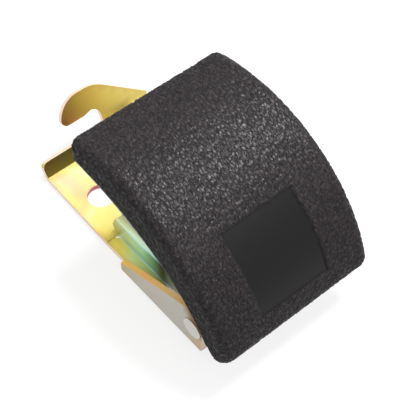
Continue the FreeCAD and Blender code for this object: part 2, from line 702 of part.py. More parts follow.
def build_hook():
    body = new_body("hook")
    claw = new_sketch(body, "ClawOutline", "XZ_Plane", face_gap)
    tip_low = (-hook_tip_side + 1.7, hook_arm_edge)
    tip = (-hook_tip_side, hook_tip_height)
    brow = (-hook_tip_side + 3.6, hook_crown_height - 1.6)
    crown = (-hook_crown_side, hook_crown_height)
    shoulder = (hook_back_side, hook_back_height)
    heel = (hook_heel_side, hook_heel_height)
    roof = hook_arm_edge + 0.5
    notch_in = (notch_wall - notch_round * 1.5, roof)
    notch_mid = (notch_wall - 0.7, roof - 0.75)
    jaw_mid = ((notch_wall - jaw_side) / 2, notch_floor - 0.5)
    hub_corner = on_circle((hook_side, hook_height), hook_hub, -135)
    hub_low = (hook_side, hook_height - hook_hub)
    draw(claw, tip_low,
         [((-hook_tip_side + 0.3, hook_arm_edge + 0.8), tip), (brow, crown),
          ((hook_back_side - 3.6, hook_crown_height - 0.5), shoulder), heel,
          (hook_side + hook_hub, hook_height + 0.5),
          (hub_corner, hub_low), (hook_side - 3.4, hook_height - hook_hub), (-jaw_side + lug_width, lug_height - 0.6),
          (-jaw_side, lug_height - 0.6), (-jaw_side, lug_height + sheet_gauge),
          (-jaw_side + 1.0, notch_floor - 0.6), jaw_mid, (notch_wall - 1.6, notch_floor),
          ((notch_wall - 0.4, notch_floor + 0.5), (notch_wall, notch_floor + 1.8)),
          (notch_wall, roof - notch_round), (notch_mid, notch_in), (notch_in[0] - 2.0, hook_arm_edge)])
    pad(body, claw, "Claw", "Sizes.sheet_gauge", both=False)
    lug = new_sketch(body, "LugOutline", "XZ_Plane", face_gap + sheet_gauge)
    draw(lug, (-jaw_side, lug_height),
         [(-jaw_side + lug_width, lug_height), (-jaw_side + lug_width, lug_height + sheet_gauge),
          (-jaw_side, lug_height + sheet_gauge)])
    pad(body, lug, "Lug", "Sizes.lug_reach", both=False)
    eye = new_sketch(body, "HookEye", "XZ_Plane")
    circle(eye, (hook_side, hook_height), "Sizes.stud_gauge + 2 * Sizes.hook_bush_wall + 2 * Sizes.running_gap")
    pocket(body, eye, "HookEyeCut", "Sizes.lug_reach", both=True)
    body.Placement = LEANED
    return body


def build_hook_pieces():
    inward = Vector(0, -1, 0)
    place = Vector(hook_side, 0, hook_height)
    bore = stud_gauge + 2 * running_gap
    near = face_gap
    far = near + sheet_gauge
    bush = ring(place, inward, bore + 2 * hook_bush_wall, bore, near, far + 0.1)
    solid("hook_bush", bush, LEANED)
    washer_low = far + 0.1 + face_gap
    washer_high = washer_low + hook_washer_gauge
    washer = ring(place, inward, hook_washer_round, stud_gauge + running_gap, washer_low, washer_high)
    solid("hook_washer", washer, LEANED)
    coil_high = washer_high + hook_wire * (COIL_PITCH * hook_turns + 1) + face_gap
    neck = cylinder(place, inward, stud_gauge - 2, -sheet_gauge, 0.0)
    shank = cylinder(place, inward, stud_gauge, 0.0, coil_high)
    head = cylinder(place, inward, stud_head, coil_high, coil_high + stud_head_rise)
    peen = Part.makeCone(stud_gauge / 2 + 0.8, stud_gauge / 2 - 0.8, 1.2,
                         place - inward * sheet_gauge, inward * -1)
    stud = neck.fuse([shank, head, peen]).removeSplitter()
    rim = [e for e in stud.Edges if abs(e.CenterOfMass.y + coil_high + stud_head_rise) < 0.01]
    solid("hook_stud", stud.makeFillet(stud_head_rise * 0.5, rim), LEANED)
    inner = stud_gauge / 2 + hook_wire / 2 + 0.25
    coil = torsion_spring(inner, hook_wire, hook_turns, hook_low_arm, hook_high_arm)
    seat = Placement(place + inward * (washer_high + hook_wire / 2 + 0.05), Rotation(Vector(1, 0, 0), 90))
    solid("hook_spring", coil, LEANED.multiply(seat))


# Torsion springs: a close-wound helix with a straight arm at each end

def torsion_spring(radius, wire, turns, first_reach, last_reach):
    """A coil up +Z from the origin; both arms leave it along their tangents."""
    pitch = wire * COIL_PITCH
    top = pitch * turns
    helix = Part.makeHelix(pitch, top, radius)
    section = Part.Wire([Part.makeCircle(wire / 2, Vector(radius, 0, 0), Vector(0, 1, 0))])
    coil = Part.Wire(helix.Edges).makePipeShell([section], True, True)
    end = 2 * math.pi * turns
    low_arm = Part.makeCylinder(wire / 2, first_reach, Vector(radius, 0, 0), Vector(0, -1, 0))
    high_arm = Part.makeCylinder(wire / 2, last_reach, Vector(radius * math.cos(end), radius * math.sin(end), top),
                                 Vector(-math.sin(end), math.cos(end), 0))
    return coil.fuse([low_arm, high_arm])


def build_handle_springs():
    """A pair of coils about the sleeve: one arm on the base, one on the lever's riser."""
    springs = []
    radius = sleeve_gauge / 2 + handle_wire / 2 + face_gap
    length = handle_wire * COIL_PITCH * handle_turns
    turn = Rotation(Vector(0, 0, -1), Vector(0, -1, 0), Vector(-1, 0, 0), "ZXY")
    turn = Rotation(Vector(1, 0, 0), -handle_arm_drop).multiply(turn)
    for side in (-1, 1):
        coil = torsion_spring(radius, handle_wire, handle_turns, handle_low_arm, handle_high_arm)
        coil.Placement = Placement(PIVOT + Vector(side * handle_coil_side + length / 2, 0, 0), turn)
        springs.append(coil)
    solid("handle_springs", Part.makeCompound(springs))


build_base_plate()
build_pivot_pieces()
build_lever_channel()
build_tongue()
build_carrier()
build_carrier_fasteners()
build_cover()
build_hook()
build_hook_pieces()
build_handle_springs()
doc.recompute()

os.makedirs("parts", exist_ok=True)
failed = [o.Name for o in doc.Objects if "Invalid" in o.State or "Error" in o.State]
if failed:
    raise RuntimeError("failed objects: " + ", ".join(failed))
for item in doc.Objects:
    if item.TypeId in ("PartDesign::Body", "Part::Feature"):
        if item.Shape.isNull() or not item.Shape.isValid():
            raise RuntimeError(item.Label + " is not a valid solid")
        item.Shape.exportStep("parts/" + item.Label + ".step")
        print(item.Label, len(item.Shape.Solids), round(item.Shape.Volume, 1))
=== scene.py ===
"""Hood release handle: grained cover, yellow zinc steel parts and their studio.

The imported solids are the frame. The cover is a new surface round its solid,
and each pressed or turned part is a merged copy of its solid with the small
rounds that stamping and plating leave on its edges. Lengths are in metres.
"""
import json
import math

import bmesh
import bpy
import numpy as np
from bpy.props import FloatProperty, FloatVectorProperty, PointerProperty, StringProperty
from mathutils import Matrix, Vector


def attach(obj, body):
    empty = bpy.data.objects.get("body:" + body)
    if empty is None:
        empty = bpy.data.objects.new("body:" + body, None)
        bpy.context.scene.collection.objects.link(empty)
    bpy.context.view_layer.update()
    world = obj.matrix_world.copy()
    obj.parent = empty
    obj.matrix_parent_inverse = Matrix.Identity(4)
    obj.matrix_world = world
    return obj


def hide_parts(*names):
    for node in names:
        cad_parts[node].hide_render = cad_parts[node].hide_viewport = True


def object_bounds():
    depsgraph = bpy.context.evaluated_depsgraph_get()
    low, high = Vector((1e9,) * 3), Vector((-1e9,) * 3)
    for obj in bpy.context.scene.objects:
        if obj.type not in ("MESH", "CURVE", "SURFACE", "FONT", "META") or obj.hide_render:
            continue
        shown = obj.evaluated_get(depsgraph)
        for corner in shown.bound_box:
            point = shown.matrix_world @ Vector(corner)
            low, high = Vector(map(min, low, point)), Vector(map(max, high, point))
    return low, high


bl_info = {
    "name": "Hood release handle",
    "version": (1, 0, 0),
    "blender": (4, 5, 0),
    "location": "3D View > Sidebar > Handle",
    "description": "Builds the grained cover, the plated parts and the studio",
    "category": "Object",
}

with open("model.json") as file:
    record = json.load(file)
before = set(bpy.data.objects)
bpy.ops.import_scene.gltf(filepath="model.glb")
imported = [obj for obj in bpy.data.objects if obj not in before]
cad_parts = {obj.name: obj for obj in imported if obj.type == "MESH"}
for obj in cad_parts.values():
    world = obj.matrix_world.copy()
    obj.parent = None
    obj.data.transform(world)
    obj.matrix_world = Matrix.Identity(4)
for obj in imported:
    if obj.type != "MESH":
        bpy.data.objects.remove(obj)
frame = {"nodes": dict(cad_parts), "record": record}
SOLID_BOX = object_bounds()
MM = 0.001
BODY_OF = {name: body
           for body, names in frame["record"]["behaviour"]["bodies"].items() for name in names}
SLOT_OF = {row["node"]: row["material_slot"] for row in frame["record"]["subparts"]}

# The cover's side view as its solid has it, in mm and degrees, with y before z.
# The outer line goes up the free end, over the front arc and the arch, and
# round the nose at the hinged end. The lower line is two arcs. The last values
# are the steps of the line and of the skin's grid.
HALF_WIDTH = 28.65
FREE_END = -6.2
FREE_END_FOOT = 41.55
FRONT_CENTRE = np.array([-29.0, -13.5])
FRONT_RADIUS = 66.0
FRONT_REACH = 22.8
ARCH_CENTRE = np.array([-29.0, 1.0])
ARCH_RADIUS = 51.5
ARCH_TURN = 71.0
NOSE_REACH = 47.2
NOSE_RADIUS = 4.3
NOSE_STOP = 200.0
LIP_CENTRE = np.array([-14.0, -45.1])
LIP_RADIUS = 87.0
LIP_END_RADIUS = 42.2
LIP_JOIN = 24.2
LIP_STOP = 61.0
LINE_STEP = 0.1
SOFTENED_POINTS = 40
THINNING_REACH = 13.0
SKIN_STEP = 0.44

# The bare patch: half its width, its span over the arch, and its wall and depths.
PATCH_HALF = 13.0
PATCH_SPAN = (32.5, 64.5)
PATCH_WALL = 0.35
PATCH_DEPTH = 0.5
GROOVE_DEPTH = 0.35

# The photograph's camera, fitted to its edges: pixels, unit axes, and mm from
# the camera to the frame's origin along right, down and ahead.
SENSOR_WIDTH = 36.0
PHOTO_WIDTH = 416
FOCAL_PIXELS = 1171.6
CAMERA_RIGHT = (0.7694, -0.6386, 0.0141)
CAMERA_DOWN = (-0.5209, -0.6401, -0.5648)
CAMERA_OFFSET = (-23.178, -10.751, 388.7)


# Sizes and colours that a user would change

def length_setting(name, description, default):
    return FloatProperty(name=name, description=description, default=default, unit="LENGTH")


def colour_setting(name, description, default):
    return StringProperty(name=name, description=description + ", sRGB hex", default=default)


class CoverSettings(bpy.types.PropertyGroup):
    """The moulded cover and its leather grain."""
    wall: length_setting("Wall", "Thickness of the moulding", 0.0025)
    corner: length_setting("Corner", "Rounding of the outer edges", 0.0034)
    end_corner: length_setting("End corner", "Rounding at the hinged end", 0.0038)
    pebble: length_setting("Pebble", "Mean width of one grain pebble", 0.00112)
    relief: length_setting("Relief", "Depth of the creases between pebbles", 0.00027)
    colour: colour_setting("Colour", "Moulding colour", "#171415")
    # crest: the colour at the light end of the grain's ramp, whose dark end is painted shade in the
    # creases
    crest: colour_setting("Crest", "Worn crest colour", "#2a2425")
    # painted highlight: lip is the pale colour painted along the lower edge, standing for the light
    # on the rounded lip
    lip: colour_setting("Lip", "Rubbed colour of the lower edge", "#85848a")


class SteelSettings(bpy.types.PropertyGroup):
    """The plated steel parts."""
    edge: length_setting("Edge", "Rounding left on stamped edges", 0.00016)
    film_patch: length_setting("Film patch", "Mean width of one tint of the passivate film", 0.024)


class StudioSettings(bpy.types.PropertyGroup):
    """The camera, lamps and floor."""
    target: FloatVectorProperty(name="Target", description="Where the lamps point", size=3,
                                subtype="TRANSLATION", default=(0.0, -0.025, 0.02))
    lamp_distance: length_setting("Lamp distance", "From the target to each lamp", 0.7)
    key: FloatProperty(name="Key", description="Strength of the overhead soft box, in watts",
                       default=8.5)
    fill: FloatProperty(name="Fill", description="Strength of the side soft box, in watts",
                        default=1.8)
    floor_reach: length_setting("Floor reach", "Half the width of the floor", 3.0)


def settings():
    return bpy.context.scene.hood_handle


# Small helpers

def linear(code):
    """An sRGB hex colour as linear red, green, blue and alpha."""
    parts = [int(code[i:i + 2], 16) / 255 for i in (1, 3, 5)]
    lights = (c / 12.92 if c <= 0.04045 else ((c + 0.055) / 1.055) ** 2.4 for c in parts)
    return (*lights, 1.0)


def add_node(material, kind, links=None, **values):
    """Add a shader node, set its properties, then fill or link its inputs."""
    made = material.node_tree.nodes.new(kind)
    for name, value in values.items():
        setattr(made, name, value)
    for socket, source in (links or {}).items():
        if isinstance(source, bpy.types.NodeSocket):
            material.node_tree.links.new(source, made.inputs[socket])
        else:
            made.inputs[socket].default_value = source
    return made


def new_material(name):
    """An empty node material."""
    material = bpy.data.materials.new(name)
    material.use_nodes = True
    material.node_tree.nodes.clear()
    return material


def close_material(material, shader):
    """The material with its output node on a shader."""
    add_node(material, "ShaderNodeOutputMaterial", {"Surface": shader})
    return material


def ramp(material, source, stops):
    """A colour ramp from (place, sRGB hex) pairs."""
    made = add_node(material, "ShaderNodeValToRGB", {"Fac": source})
    row = made.color_ramp.elements
    while len(row) < len(stops):
        row.new(0.5)
    for element, (place, code) in zip(row, stops):
        element.position = place
        element.color = linear(code)
    return made.outputs["Color"]


def object_place(material):
    return add_node(material, "ShaderNodeTexCoord").outputs["Object"]


def attribute(material, name):
    return add_node(material, "ShaderNodeAttribute", attribute_name=name).outputs


def noise(material, place, width, detail, **inputs):
    """The outputs of a noise whose features are about one width across."""
    links = {"Vector": place, "Scale": 1 / width, "Detail": detail, **inputs}
    return add_node(material, "ShaderNodeTexNoise", links).outputs


def mixed(material, share, under, over, kind="MIX"):
    """A share of one colour over another, each of them a socket or a linear colour."""
    made = add_node(material, "ShaderNodeMix", {"Factor": share, 6: under, 7: over},
                    data_type="RGBA", blend_type=kind)
    return made.outputs[2]


def maths(material, kind, *inputs):
    return add_node(material, "ShaderNodeMath", dict(enumerate(inputs)), operation=kind).outputs[0]


def ranged(material, value, low, high):
    """A value from 0 to 1 carried to the range from low to high."""
    links = {"Value": value, "To Min": low, "To Max": high}
    return add_node(material, "ShaderNodeMapRange", links).outputs[0]


def bumped(material, height, strength, depth):
    """A normal that leans with the slope of a height."""
    links = {"Height": height, "Strength": strength, "Distance": depth}
    return add_node(material, "ShaderNodeBump", links).outputs[0]


def smooth(value, low, high):
    """0 below low, 1 above high, and an S between them."""
    t = np.clip((value - low) / (high - low), 0.0, 1.0)
    return t * t * (3 - 2 * t)


# Materials

def grained_plastic():
    """Grained polypropylene, moulded in charcoal: dull sheen on the wrinkles, painted shade in the
    creases.
    """
    material = new_material("grained_polypropylene")
    cover = settings().cover
    place = object_place(material)
    crest = attribute(material, "crest")["Fac"]
    plain = attribute(material, "plain")["Fac"]
    mottle = noise(material, place, 0.011, 3.0)["Fac"]
    speck = noise(material, place, 0.0007, 4.0)["Fac"]
    # the small wrinkles on each pebble, longer along the cover than across it
    wander = noise(material, place, 0.0018, 2.0)["Color"]
    bend = (0.0006, 0.0006, 0.0006)
    drawn = add_node(material, "ShaderNodeMapping", {"Vector": place, "Scale": (1.0, 0.42, 0.75)})
    bent = add_node(material, "ShaderNodeVectorMath", {0: wander, 1: bend, 2: drawn.outputs[0]},
                    operation="MULTIPLY_ADD")
    wrinkle_width = 0.00085
    wrinkle = add_node(material, "ShaderNodeTexVoronoi",
                       {"Vector": bent.outputs[0], "Scale": 1 / wrinkle_width},
                       feature="DISTANCE_TO_EDGE")
    ridge = add_node(material, "ShaderNodeMapRange",
                     {"Value": wrinkle.outputs["Distance"], "From Max": 0.13, "To Min": 0.35},
                     interpolation_type="SMOOTHSTEP").outputs[0]
    bare = maths(material, "MAXIMUM", ridge, plain)
    lift = maths(material, "MULTIPLY", bare, crest)
    shade = maths(material, "MULTIPLY_ADD", speck, 0.35, lift)
    # painted shade: along the wrinkles' edges the creases run down to near black, and low crest
    # values darken them further
    body = ramp(material, shade, [(0.25, "#060505"), (0.65, cover.colour), (1.0, cover.crest)])
    warm = mixed(material, mottle, body, linear("#86787a"), "SOFT_LIGHT")
    flat = mixed(material, plain, warm, linear("#060506"))
    # painted highlight: the lip attribute lays the pale lip colour along the lower edge, where the
    # rounded lip would catch the light
    lip = mixed(material, attribute(material, "lip")["Fac"], flat, linear(cover.lip))
    shader = add_node(material, "ShaderNodeBsdfPrincipled",
                      {"Base Color": lip, "Roughness": ranged(material, lift, 0.7, 0.34),
                       "Normal": bumped(material, bare, 0.9, 0.00019),
                       "IOR": 1.49, "Specular IOR Level": 0.23})
    return close_material(material, shader.outputs[0])


def yellow_zinc():
    """Zinc plate over rolled sheet, with a yellow chromate film whose thickness shifts its tint."""
    material = new_material("yellow_passivated_zinc")
    place = object_place(material)
    film_at = attribute(material, "film")
    cloud = noise(material, place, settings().steel.film_patch, 2.0, Roughness=0.45, Distortion=0.6)
    drift = ramp(material, cloud["Fac"], [(0.32, "#b89c40"), (0.41, "#d8c258"), (0.50, "#bccb92"),
                                          (0.58, "#d6c26c"), (0.68, "#d29a80")])
    film = mixed(material, film_at["Alpha"], drift, film_at["Color"])
    tint = mixed(material, attribute(material, "cut")["Fac"], film, linear("#ecd0bc"))
    grit = noise(material, place, 0.0009, 5.0)["Fac"]
    shader = add_node(material, "ShaderNodeBsdfPrincipled",
                      {"Base Color": tint, "Metallic": 0.75,
                       "Roughness": ranged(material, grit, 0.30, 0.46),
                       "Normal": bumped(material, grit, 0.10, 0.00005)})
    return close_material(material, shader.outputs[0])


def plain_metal(name, low, high, roughness, scratch=0.0006):
    """A turned or drawn metal whose tint and gloss wander a little over fine tool marks."""
    material = new_material(name)
    drawn = add_node(material, "ShaderNodeMapping",
                     {"Vector": object_place(material), "Scale": (8.0, 1.0, 1.0)})
    grit = noise(material, drawn.outputs[0], scratch, 4.0)["Fac"]
    shader = add_node(material, "ShaderNodeBsdfPrincipled",
                      {"Base Color": ramp(material, grit, [(0.25, low), (0.75, high)]),
                       "Metallic": 1.0,
                       "Roughness": ranged(material, grit, roughness, roughness + 0.16),
                       "Normal": bumped(material, grit, 0.15, 0.00004)})
    return close_material(material, shader.outputs[0])


def natural_nylon():
    """Unfilled nylon, turned: milky, with a waxy sheen and faint lathe lines."""
    material = new_material("natural_nylon")
    line_width = 0.0016
    lines = add_node(material, "ShaderNodeTexWave",
                     {"Vector": object_place(material), "Scale": 1 / line_width, "Distortion": 1.5,
                      "Detail": 2.0})
    tint = ramp(material, lines.outputs["Fac"], [(0.0, "#cfc8b8"), (1.0, "#e2dccd")])
    shader = add_node(material, "ShaderNodeBsdfPrincipled",
                      {"Base Color": tint, "Roughness": 0.45, "IOR": 1.53,
                       "Subsurface Weight": 0.1, "Subsurface Scale": 0.001})
    return close_material(material, shader.outputs[0])


MAKERS = {
    "zinc_yellow": yellow_zinc,
    "zinc_clear": lambda: plain_metal("clear_passivated_zinc", "#b9b6b0", "#dad6cf", 0.28),
    "spring_steel": lambda: plain_metal("oiled_spring_wire", "#55565a", "#7b7c80", 0.24, 0.0004),
    "bush_brass": lambda: plain_metal("turned_brass", "#b98c46", "#d8b064", 0.26),
    "sleeve_plastic": natural_nylon,
    "cover_black": grained_plastic,
}


def finish_of(slot):
    """The one material made for a slot of the record."""
    key = "slot_" + slot
    name = bpy.context.scene.get(key)
    if name is None:
        name = MAKERS[slot]().name
        bpy.context.scene[key] = name
    return bpy.data.materials[name]


# The moulded cover

def arc_points(centre, radius, start, stop):
    """Points on an arc, angle from straight up towards -Y, about one step apart."""
    count = max(3, int(abs(math.radians(stop - start)) * radius / LINE_STEP) + 1)
    turn = np.radians(np.linspace(start, stop, count))
    return np.stack([centre[0] - radius * np.sin(turn), centre[1] + radius * np.cos(turn)], axis=1)


def run_along(points):
    """Length from the start of a line to each of its points."""
    return np.concatenate([[0.0], np.cumsum(np.linalg.norm(np.diff(points, axis=0), axis=1))])


def evenly(points):
    """The same line with its points one step apart, by interpolation over arc length."""
    run = run_along(points)
    keep = np.concatenate([[True], np.diff(run) > 1e-9])
    spots = np.linspace(0.0, run[-1], int(run[-1] / LINE_STEP) + 1)
    return np.stack([np.interp(spots, run[keep], points[keep, i]) for i in (0, 1)], axis=1)


def softened(points):
    """A running mean over the line, whose ends are carried on straight so that they stay put."""
    reach = SOFTENED_POINTS // 2
    before = points[0] + (points[0] - points[1]) * np.arange(reach, 0, -1)[:, None]
    after = points[-1] + (points[-1] - points[-2]) * np.arange(1, reach + 1)[:, None]
    long = np.concatenate([before, points, after])
    weight = np.hanning(2 * reach + 3)[1:-1]
    weight /= weight.sum()
    return np.stack([np.convolve(long[:, i], weight, mode="valid") for i in (0, 1)], axis=1)


def cover_outline():
    """The outer line in mm: up the free end, over the arch and round the hinged end."""
    front_top = FRONT_CENTRE[1] + math.sqrt(FRONT_RADIUS ** 2 - FRONT_REACH ** 2)
    first = np.array([[FREE_END, FREE_END_FOOT], [FREE_END, front_top]])
    front_turn = math.degrees(math.asin(FRONT_REACH / FRONT_RADIUS))
    front = arc_points(FRONT_CENTRE, FRONT_RADIUS, -front_turn, 0.0)
    rear = arc_points(ARCH_CENTRE, ARCH_RADIUS, 0.0, ARCH_TURN)
    turn = math.radians(ARCH_TURN)
    nose_centre = ARCH_CENTRE + NOSE_REACH * np.array([-math.sin(turn), math.cos(turn)])
    nose = arc_points(nose_centre, NOSE_RADIUS, ARCH_TURN, NOSE_STOP)
    last = cover_lip(FREE_END)[-1:]
    return softened(evenly(np.concatenate([first, front[1:], rear[1:], nose[1:], last])))


def cover_lip(start):
    """The lower line in mm: two arcs, from a y near the free end back to the hinged end."""
    join = math.radians(LIP_JOIN)
    shift = LIP_RADIUS - LIP_END_RADIUS
    end_centre = LIP_CENTRE + shift * np.array([-math.sin(join), math.cos(join)])
    begin = -math.degrees(math.asin((LIP_CENTRE[0] - start) / -LIP_RADIUS))
    first = arc_points(LIP_CENTRE, LIP_RADIUS, begin, LIP_JOIN)
    second = arc_points(end_centre, LIP_END_RADIUS, LIP_JOIN, LIP_STOP)
    return np.concatenate([first, second[1:]])


def sample(values, line, share):
    """Values held at a line's points, read at shares of the line's length."""
    run = run_along(line)
    return np.stack([np.interp(share * run[-1], run, values[:, i]) for i in (0, 1)], axis=1)


def pebbles(places, cell, seed):
    """Second nearest distance less nearest, in cells, to points jittered one to a cubic cell."""
    rng = np.random.RandomState(seed)
    low = np.floor(places.min(axis=0) / cell).astype(int) - 2
    shape = tuple(np.floor(places.max(axis=0) / cell).astype(int) - low + 4)
    seeds = rng.rand(*shape, 3)
    home = np.floor(places / cell).astype(int)
    nearest = np.full(len(places), np.inf)
    second = np.full(len(places), np.inf)
    grid = np.stack(np.meshgrid(*[(-1, 0, 1)] * 3, indexing="ij"), axis=-1).reshape(-1, 3)
    for step in grid:
        spot = home + step
        index = spot - low
        away = (spot + seeds[index[:, 0], index[:, 1], index[:, 2]]) - places / cell
        far = np.sqrt((away ** 2).sum(axis=1))
        second = np.minimum(second, np.maximum(nearest, far))
        nearest = np.minimum(nearest, far)
    return second - nearest


def lines_between(marks, step):
    """An odd number of parameter lines through every mark, about one step apart between them."""
    runs = []
    for low, high in zip(marks, marks[1:]):
        count = max(2, int(math.ceil((high - low) / step)) + 1)
        runs.append(np.linspace(low, high, count)[:-1])
    spots = np.concatenate(runs + [[marks[-1]]])
    if len(spots) % 2 == 0:
        middle = len(spots) // 2
        spots = np.insert(spots, middle, (spots[middle - 1] + spots[middle]) / 2)
    return spots


class CoverForm:
    """The cover's skin over two parameters, v along the side view's line and u across it.

    Across, the skin runs up the near side from the lip, round a quarter arc,
    over the flat crown and down the far side. A point is the outline's point
    at v moved inwards by the depth at u, and past the arc it goes straight to
    the lip's point of the same share of the length.
    """

    def __init__(self, inset, corner, end_corner):
        line = cover_outline()
        slope = np.gradient(line, axis=0)
        slope /= np.linalg.norm(slope, axis=1)[:, None]
        self.line = line
        self.inward = np.stack([-slope[:, 1], slope[:, 0]], axis=1)
        self.length = np.linalg.norm(np.diff(line, axis=0), axis=1).sum()
        self.inset = inset
        self.corner = corner
        self.end_corner = end_corner
        self.lip = cover_lip(FREE_END - corner)

    def skin(self, u, v):
        """Places and normals in mm on the grid, with the distance to the open edges."""
        share = v / self.length
        top = sample(self.line, self.line, share)
        inward = sample(self.inward, self.line, share)
        inward /= np.linalg.norm(inward, axis=1)[:, None]
        # the wall and its rounding thin out towards the hinged end
        fade = smooth(v, self.length - THINNING_REACH, self.length - 1.0)
        thick = self.inset * (1 - 0.7 * fade)
        rear = smooth(v, self.length * 0.55, self.length * 0.9)
        round_by = self.corner + (self.end_corner - self.corner) * rear
        round_by = round_by * (1 - 0.72 * fade)
        inner_line = top + inward * round_by[:, None]
        run = run_along(inner_line)
        foot = sample(self.lip, self.lip, run / run[-1])
        least_arc = 0.35
        arc = np.maximum(round_by - thick, least_arc)
        depth = np.linalg.norm(foot - inner_line, axis=1)
        flat = (HALF_WIDTH - thick - arc)[None, :]
        # u from -3 to 3: side wall, quarter arc, crown, quarter arc, side wall
        size = np.abs(u)[:, None]
        side = np.sign(u)[:, None]
        crown = np.clip(size, 0, 1)
        bend = np.clip(size - 1, 0, 1) * math.pi / 2
        down = np.clip(size - 2, 0, 1)
        x = side * (crown * flat + arc[None, :] * np.sin(bend))
        sink = thick[None, :] + arc[None, :] * (1 - np.cos(bend))
        base = top[None, :, :] + inward[None, :, :] * sink[:, :, None]
        place_yz = base + (foot - inner_line)[None, :, :] * down[:, :, None]
        # above the walls the rim is further off than any width that the grain fades over
        rim = np.where(size >= 2, (1 - down) * depth[None, :], depth[None, :] + 2.0)
        ends = np.minimum(v, self.length - v)[None, :]
        edge = np.minimum(rim, np.broadcast_to(ends, rim.shape))
        places = np.concatenate([x[:, :, None], place_yz], axis=2)
        lean = np.broadcast_to(np.cos(bend), x.shape)
        out_x = np.broadcast_to(side * np.sin(bend), x.shape)
        normals = np.concatenate([out_x[:, :, None], -inward[None, :, :] * lean[:, :, None]],
                                 axis=2)
        return places, normals, edge


def grid_faces(rows, columns, first, flip):
    """Quads of a grid of points, as rows of four indices."""
    index = first + np.arange(rows * columns).reshape(rows, columns)
    corners = [index[:-1, :-1], index[1:, :-1], index[1:, 1:], index[:-1, 1:]]
    quads = np.stack([c.ravel() for c in corners], axis=1)
    return quads[:, ::-1] if flip else quads


def border(rows, columns, first):
    """Indices round a grid's border, once round without repeating the start."""
    index = first + np.arange(rows * columns).reshape(rows, columns)
    return np.concatenate([index[:-1, 0], index[-1, :-1], index[:0:-1, -1], index[0, :0:-1]])


def rim_faces(outer, inner):
    """Join a border to one with half as many points by three triangles to each inner edge."""
    here, between = outer[0::2], outer[1::2]
    after = np.roll(outer, -2)[0::2]
    low, high = inner, np.roll(inner, -1)
    fans = (low, here, between), (low, between, high), (high, between, after)
    return np.concatenate([np.stack(fan, axis=1) for fan in fans])


def mesh_object(name, places, faces, smooth_shaded=True):
    """A mesh object at the origin from points in metres and lists of corner indices."""
    mesh = bpy.data.meshes.new(name)
    counts = np.concatenate([np.full(len(f), f.shape[1]) for f in faces])
    loops = np.concatenate([f.ravel() for f in faces])
    mesh.vertices.add(len(places))
    mesh.vertices.foreach_set("co", places.astype(np.float32).ravel())
    mesh.loops.add(len(loops))
    mesh.loops.foreach_set("vertex_index", loops.astype(np.int32))
    mesh.polygons.add(len(counts))
    starts = np.concatenate([[0], np.cumsum(counts)[:-1]])
    mesh.polygons.foreach_set("loop_start", starts.astype(np.int32))
    mesh.update(calc_edges=True)
    mesh.validate()
    mesh.polygons.foreach_set("use_smooth", np.full(len(mesh.polygons), smooth_shaded))
    made = bpy.data.objects.new(name, mesh)
    bpy.context.scene.collection.objects.link(made)
    return made


def point_values(mesh, name, values):
    row = mesh.attributes.new(name, "FLOAT", "POINT")
    row.data.foreach_set("value", values.astype(np.float32).ravel())


def lines_across(form):
    """The skin's lines u, with the half widths in u of the patch's floor and of its wall."""
    crown_half = HALF_WIDTH - form.corner
    floor = PATCH_HALF / crown_half
    wall = PATCH_WALL / crown_half
    marks = [-1, -floor - wall, -floor, floor, floor + wall, 1]
    crown = lines_between(marks, SKIN_STEP / crown_half)
    arc = np.linspace(1, 2, 15)[1:]
    # closer lines towards the lip, where the edge rolls in
    down = 2 + np.concatenate([np.linspace(0, 0.93, 44)[1:], [0.955, 0.975, 0.99, 1.0]])
    side = np.concatenate([arc, down])
    return np.concatenate([-side[::-1], crown, side]), floor, wall


def lines_along(form):
    """The skin's lines v, with the first and the last v of the patch's floor."""
    # the arch's crown is where the outline stops rising
    crown_at = np.argmax(form.line[:, 1]) / (len(form.line) - 1) * form.length
    first, last = (crown_at + math.radians(angle) * ARCH_RADIUS for angle in PATCH_SPAN)
    marks = [0.0, 1.0, first - PATCH_WALL, first, last, last + PATCH_WALL, form.length - 1.0,
             form.length]
    return lines_between(marks, SKIN_STEP), first, last


